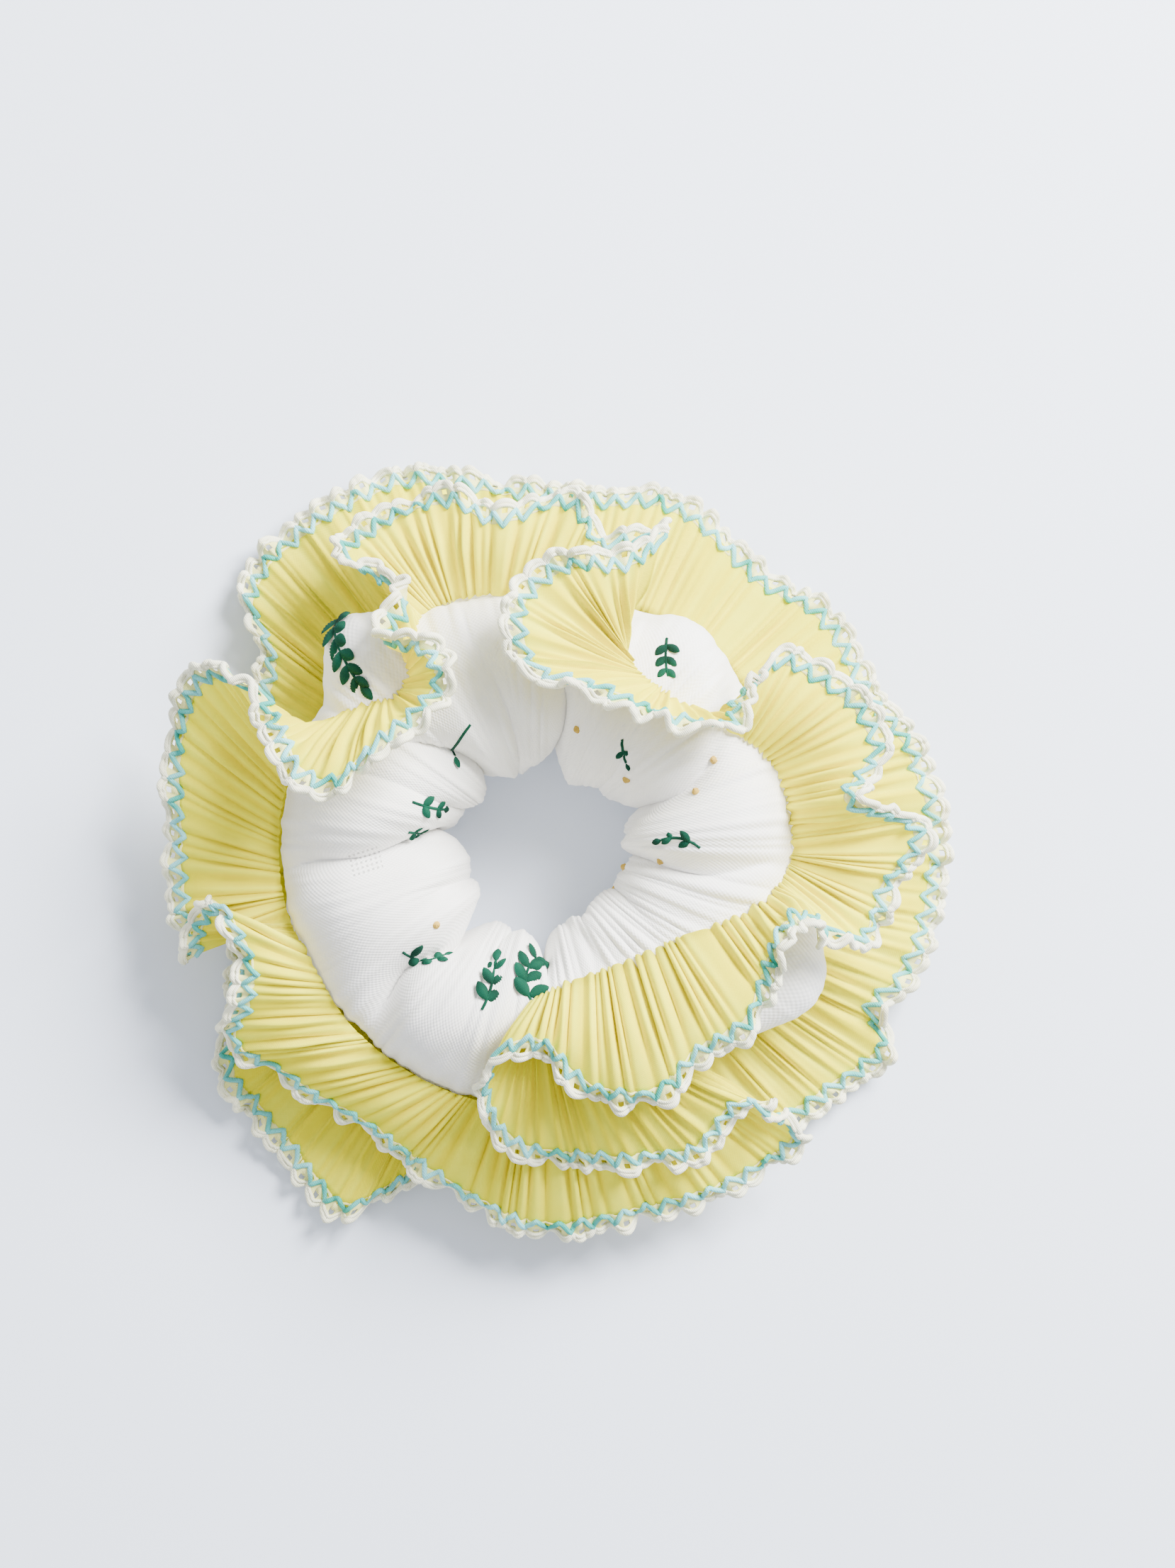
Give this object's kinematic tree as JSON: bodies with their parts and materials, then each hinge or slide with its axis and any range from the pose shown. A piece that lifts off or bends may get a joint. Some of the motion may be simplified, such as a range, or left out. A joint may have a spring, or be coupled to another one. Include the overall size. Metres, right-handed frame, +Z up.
{
  "type": "ruffled hair scrunchie",
  "caption": "Gathered cotton hair scrunchie on an elastic loop, with pleated ruffles edged in scalloped lace and small embroidered sprigs.",
  "frame": {"origin": "on the table, under the middle of the object's outline", "axes": "+Z up, through the hair hole"},
  "size_m": [0.1512, 0.1492, 0.0473],
  "materials": {
    "white_cotton": "gathered white cotton with a fine raised weave",
    "yellow_voile": "sheer yellow voile in narrow pleats",
    "lace_cotton": "cream scalloped cotton edging",
    "aqua_thread": "soft aqua embroidery thread",
    "green_thread": "dark green satin-stitch thread",
    "ochre_thread": "ochre thread knots",
    "white_thread": "fine white sewing thread",
    "elastic": "flat white braided elastic"
  },
  "bodies": {
    "cloth": {"cover": "white_cotton", "upper_ruffle": "yellow_voile", "lower_ruffle": "yellow_voile", "upper_lace": "lace_cotton", "lower_lace": "lace_cotton", "upper_hem_thread": "aqua_thread", "lower_hem_thread": "aqua_thread", "seam_needle_thread": "white_thread", "seam_bobbin_thread": "white_thread", "leaf_sprig_1": "green_thread", "leaf_sprig_2": "green_thread", "leaf_sprig_3": "green_thread", "leaf_sprig_4": "green_thread", "leaf_sprig_5": "green_thread", "leaf_sprig_6": "green_thread", "leaf_sprig_7": "green_thread", "leaf_sprig_8": "green_thread", "leaf_sprig_9": "green_thread", "leaf_sprig_10": "green_thread", "blossom_knot_1": "ochre_thread", "blossom_knot_2": "ochre_thread", "blossom_knot_3": "ochre_thread", "blossom_knot_4": "ochre_thread", "blossom_knot_5": "ochre_thread", "blossom_knot_6": "ochre_thread", "blossom_knot_7": "ochre_thread", "blossom_knot_8": "ochre_thread"},
    "elastic": {"elastic_band": "elastic", "elastic_join_thread": "white_thread"}
  },
  "joints": [
    {"name": "elastic_turn", "type": "hinge", "parent": "cloth", "child": "elastic", "pos_m": [-0.003, 0.0005, 0.015], "axis": [0, 0, 1], "continuous": true}
  ]
}
